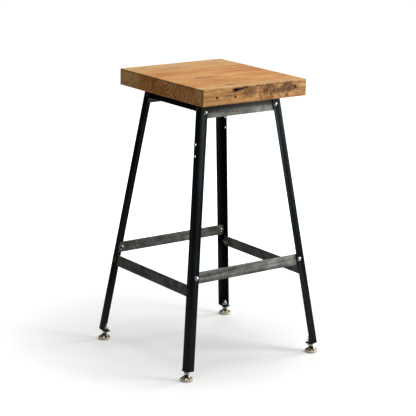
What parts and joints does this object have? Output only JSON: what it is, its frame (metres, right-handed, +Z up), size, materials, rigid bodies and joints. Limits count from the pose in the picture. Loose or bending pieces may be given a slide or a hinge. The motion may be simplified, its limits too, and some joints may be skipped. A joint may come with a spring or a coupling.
{
  "type": "bar stool",
  "caption": "Backless bar stool: thick wooden seat on splayed steel angle legs, with bolted flat-bar footrest rails and levelling feet.",
  "frame": {"origin": "on the floor under the middle of the seat", "axes": "+Z up; +X along the wood grain of the seat; -Y faces the front footrest, one of the two higher rails"},
  "size_m": [0.4554, 0.4346, 0.762],
  "materials": {
    "seat_wood": "oiled reclaimed softwood",
    "leg_steel": "blackened steel with a thin wax finish",
    "rail_steel": "bare hot-rolled steel with mill scale",
    "zinc": "bright zinc plating",
    "nickel": "polished nickel plating",
    "nylon": "cream nylon"
  },
  "bodies": {
    "frame": {"seat": "seat_wood", "leg_front_left": "leg_steel", "leg_front_right": "leg_steel", "leg_back_left": "leg_steel", "leg_back_right": "leg_steel", "foot_plate_front_left": "leg_steel", "foot_plate_front_right": "leg_steel", "foot_plate_back_left": "leg_steel", "foot_plate_back_right": "leg_steel", "apron_front": "rail_steel", "apron_back": "rail_steel", "apron_left": "leg_steel", "apron_right": "leg_steel", "footrest_front": "rail_steel", "footrest_back": "rail_steel", "footrest_left": "rail_steel", "footrest_right": "rail_steel", "seat_screws": "zinc", "apron_bolts": "zinc", "apron_washers": "zinc", "apron_nuts": "zinc", "rail_bolts": "zinc", "rail_washers": "zinc", "rail_nuts": "zinc"},
    "lower_nut_front_left_body": {"lower_nut_front_left": "zinc"},
    "upper_nut_front_left_body": {"upper_nut_front_left": "zinc"},
    "stem_front_left_body": {"stem_front_left": "zinc"},
    "pad_front_left_body": {"foot_shell_front_left": "nickel", "foot_base_front_left": "nylon"},
    "lower_nut_front_right_body": {"lower_nut_front_right": "zinc"},
    "upper_nut_front_right_body": {"upper_nut_front_right": "zinc"},
    "stem_front_right_body": {"stem_front_right": "zinc"},
    "pad_front_right_body": {"foot_shell_front_right": "nickel", "foot_base_front_right": "nylon"},
    "lower_nut_back_left_body": {"lower_nut_back_left": "zinc"},
    "upper_nut_back_left_body": {"upper_nut_back_left": "zinc"},
    "stem_back_left_body": {"stem_back_left": "zinc"},
    "pad_back_left_body": {"foot_shell_back_left": "nickel", "foot_base_back_left": "nylon"},
    "lower_nut_back_right_body": {"lower_nut_back_right": "zinc"},
    "upper_nut_back_right_body": {"upper_nut_back_right": "zinc"},
    "stem_back_right_body": {"stem_back_right": "zinc"},
    "pad_back_right_body": {"foot_shell_back_right": "nickel", "foot_base_back_right": "nylon"}
  },
  "joints": [
    {"name": "front_left_lower_nut_turn", "type": "hinge", "parent": "frame", "child": "lower_nut_front_left_body", "pos_m": [-0.2077, -0.19747, 0.02522], "axis": [0.1309, 0.122, 0.9839], "range_deg": [0, 1440]},
    {"name": "front_left_upper_nut_turn", "type": "hinge", "parent": "frame", "child": "upper_nut_front_left_body", "pos_m": [-0.2077, -0.19747, 0.02522], "axis": [0.1309, 0.122, 0.9839], "range_deg": [0, 1440]},
    {"name": "front_left_stem_lift", "type": "slide", "parent": "frame", "child": "stem_front_left_body", "axis": [-0.1309, -0.122, -0.9839], "range_m": [0, 0.005]},
    {"name": "front_left_pad_tilt", "type": "hinge", "parent": "stem_front_left_body", "child": "pad_front_left_body", "pos_m": [-0.20999, -0.1996, 0.008], "axis": [0.6816, -0.7317, 0], "range_deg": [-10, 5]},
    {"name": "front_right_lower_nut_turn", "type": "hinge", "parent": "frame", "child": "lower_nut_front_right_body", "pos_m": [0.2077, -0.19747, 0.02522], "axis": [-0.1309, 0.122, 0.9839], "range_deg": [0, 1440]},
    {"name": "front_right_upper_nut_turn", "type": "hinge", "parent": "frame", "child": "upper_nut_front_right_body", "pos_m": [0.2077, -0.19747, 0.02522], "axis": [-0.1309, 0.122, 0.9839], "range_deg": [0, 1440]},
    {"name": "front_right_stem_lift", "type": "slide", "parent": "frame", "child": "stem_front_right_body", "axis": [0.1309, -0.122, -0.9839], "range_m": [0, 0.005]},
    {"name": "front_right_pad_tilt", "type": "hinge", "parent": "stem_front_right_body", "child": "pad_front_right_body", "pos_m": [0.20999, -0.1996, 0.008], "axis": [0.6816, 0.7317, 0], "range_deg": [-10, 5]},
    {"name": "back_left_lower_nut_turn", "type": "hinge", "parent": "frame", "child": "lower_nut_back_left_body", "pos_m": [-0.2077, 0.19747, 0.02522], "axis": [0.1309, -0.122, 0.9839], "range_deg": [0, 1440]},
    {"name": "back_left_upper_nut_turn", "type": "hinge", "parent": "frame", "child": "upper_nut_back_left_body", "pos_m": [-0.2077, 0.19747, 0.02522], "axis": [0.1309, -0.122, 0.9839], "range_deg": [0, 1440]},
    {"name": "back_left_stem_lift", "type": "slide", "parent": "frame", "child": "stem_back_left_body", "axis": [-0.1309, 0.122, -0.9839], "range_m": [0, 0.005]},
    {"name": "back_left_pad_tilt", "type": "hinge", "parent": "stem_back_left_body", "child": "pad_back_left_body", "pos_m": [-0.20999, 0.1996, 0.008], "axis": [-0.6816, -0.7317, 0], "range_deg": [-10, 5]},
    {"name": "back_right_lower_nut_turn", "type": "hinge", "parent": "frame", "child": "lower_nut_back_right_body", "pos_m": [0.2077, 0.19747, 0.02522], "axis": [-0.1309, -0.122, 0.9839], "range_deg": [0, 1440]},
    {"name": "back_right_upper_nut_turn", "type": "hinge", "parent": "frame", "child": "upper_nut_back_right_body", "pos_m": [0.2077, 0.19747, 0.02522], "axis": [-0.1309, -0.122, 0.9839], "range_deg": [0, 1440]},
    {"name": "back_right_stem_lift", "type": "slide", "parent": "frame", "child": "stem_back_right_body", "axis": [0.1309, 0.122, -0.9839], "range_m": [0, 0.005]},
    {"name": "back_right_pad_tilt", "type": "hinge", "parent": "stem_back_right_body", "child": "pad_back_right_body", "pos_m": [0.20999, 0.1996, 0.008], "axis": [-0.6816, 0.7317, 0], "range_deg": [-10, 5]}
  ],
  "couplings": [
    {"joint": "front_left_lower_nut_turn", "follows": "front_left_stem_lift", "rad_per_m": 5026.5},
    {"joint": "front_left_upper_nut_turn", "follows": "front_left_stem_lift", "rad_per_m": 5026.5},
    {"joint": "front_right_lower_nut_turn", "follows": "front_right_stem_lift", "rad_per_m": 5026.5},
    {"joint": "front_right_upper_nut_turn", "follows": "front_right_stem_lift", "rad_per_m": 5026.5},
    {"joint": "back_left_lower_nut_turn", "follows": "back_left_stem_lift", "rad_per_m": 5026.5},
    {"joint": "back_left_upper_nut_turn", "follows": "back_left_stem_lift", "rad_per_m": 5026.5},
    {"joint": "back_right_lower_nut_turn", "follows": "back_right_stem_lift", "rad_per_m": 5026.5},
    {"joint": "back_right_upper_nut_turn", "follows": "back_right_stem_lift", "rad_per_m": 5026.5}
  ]
}
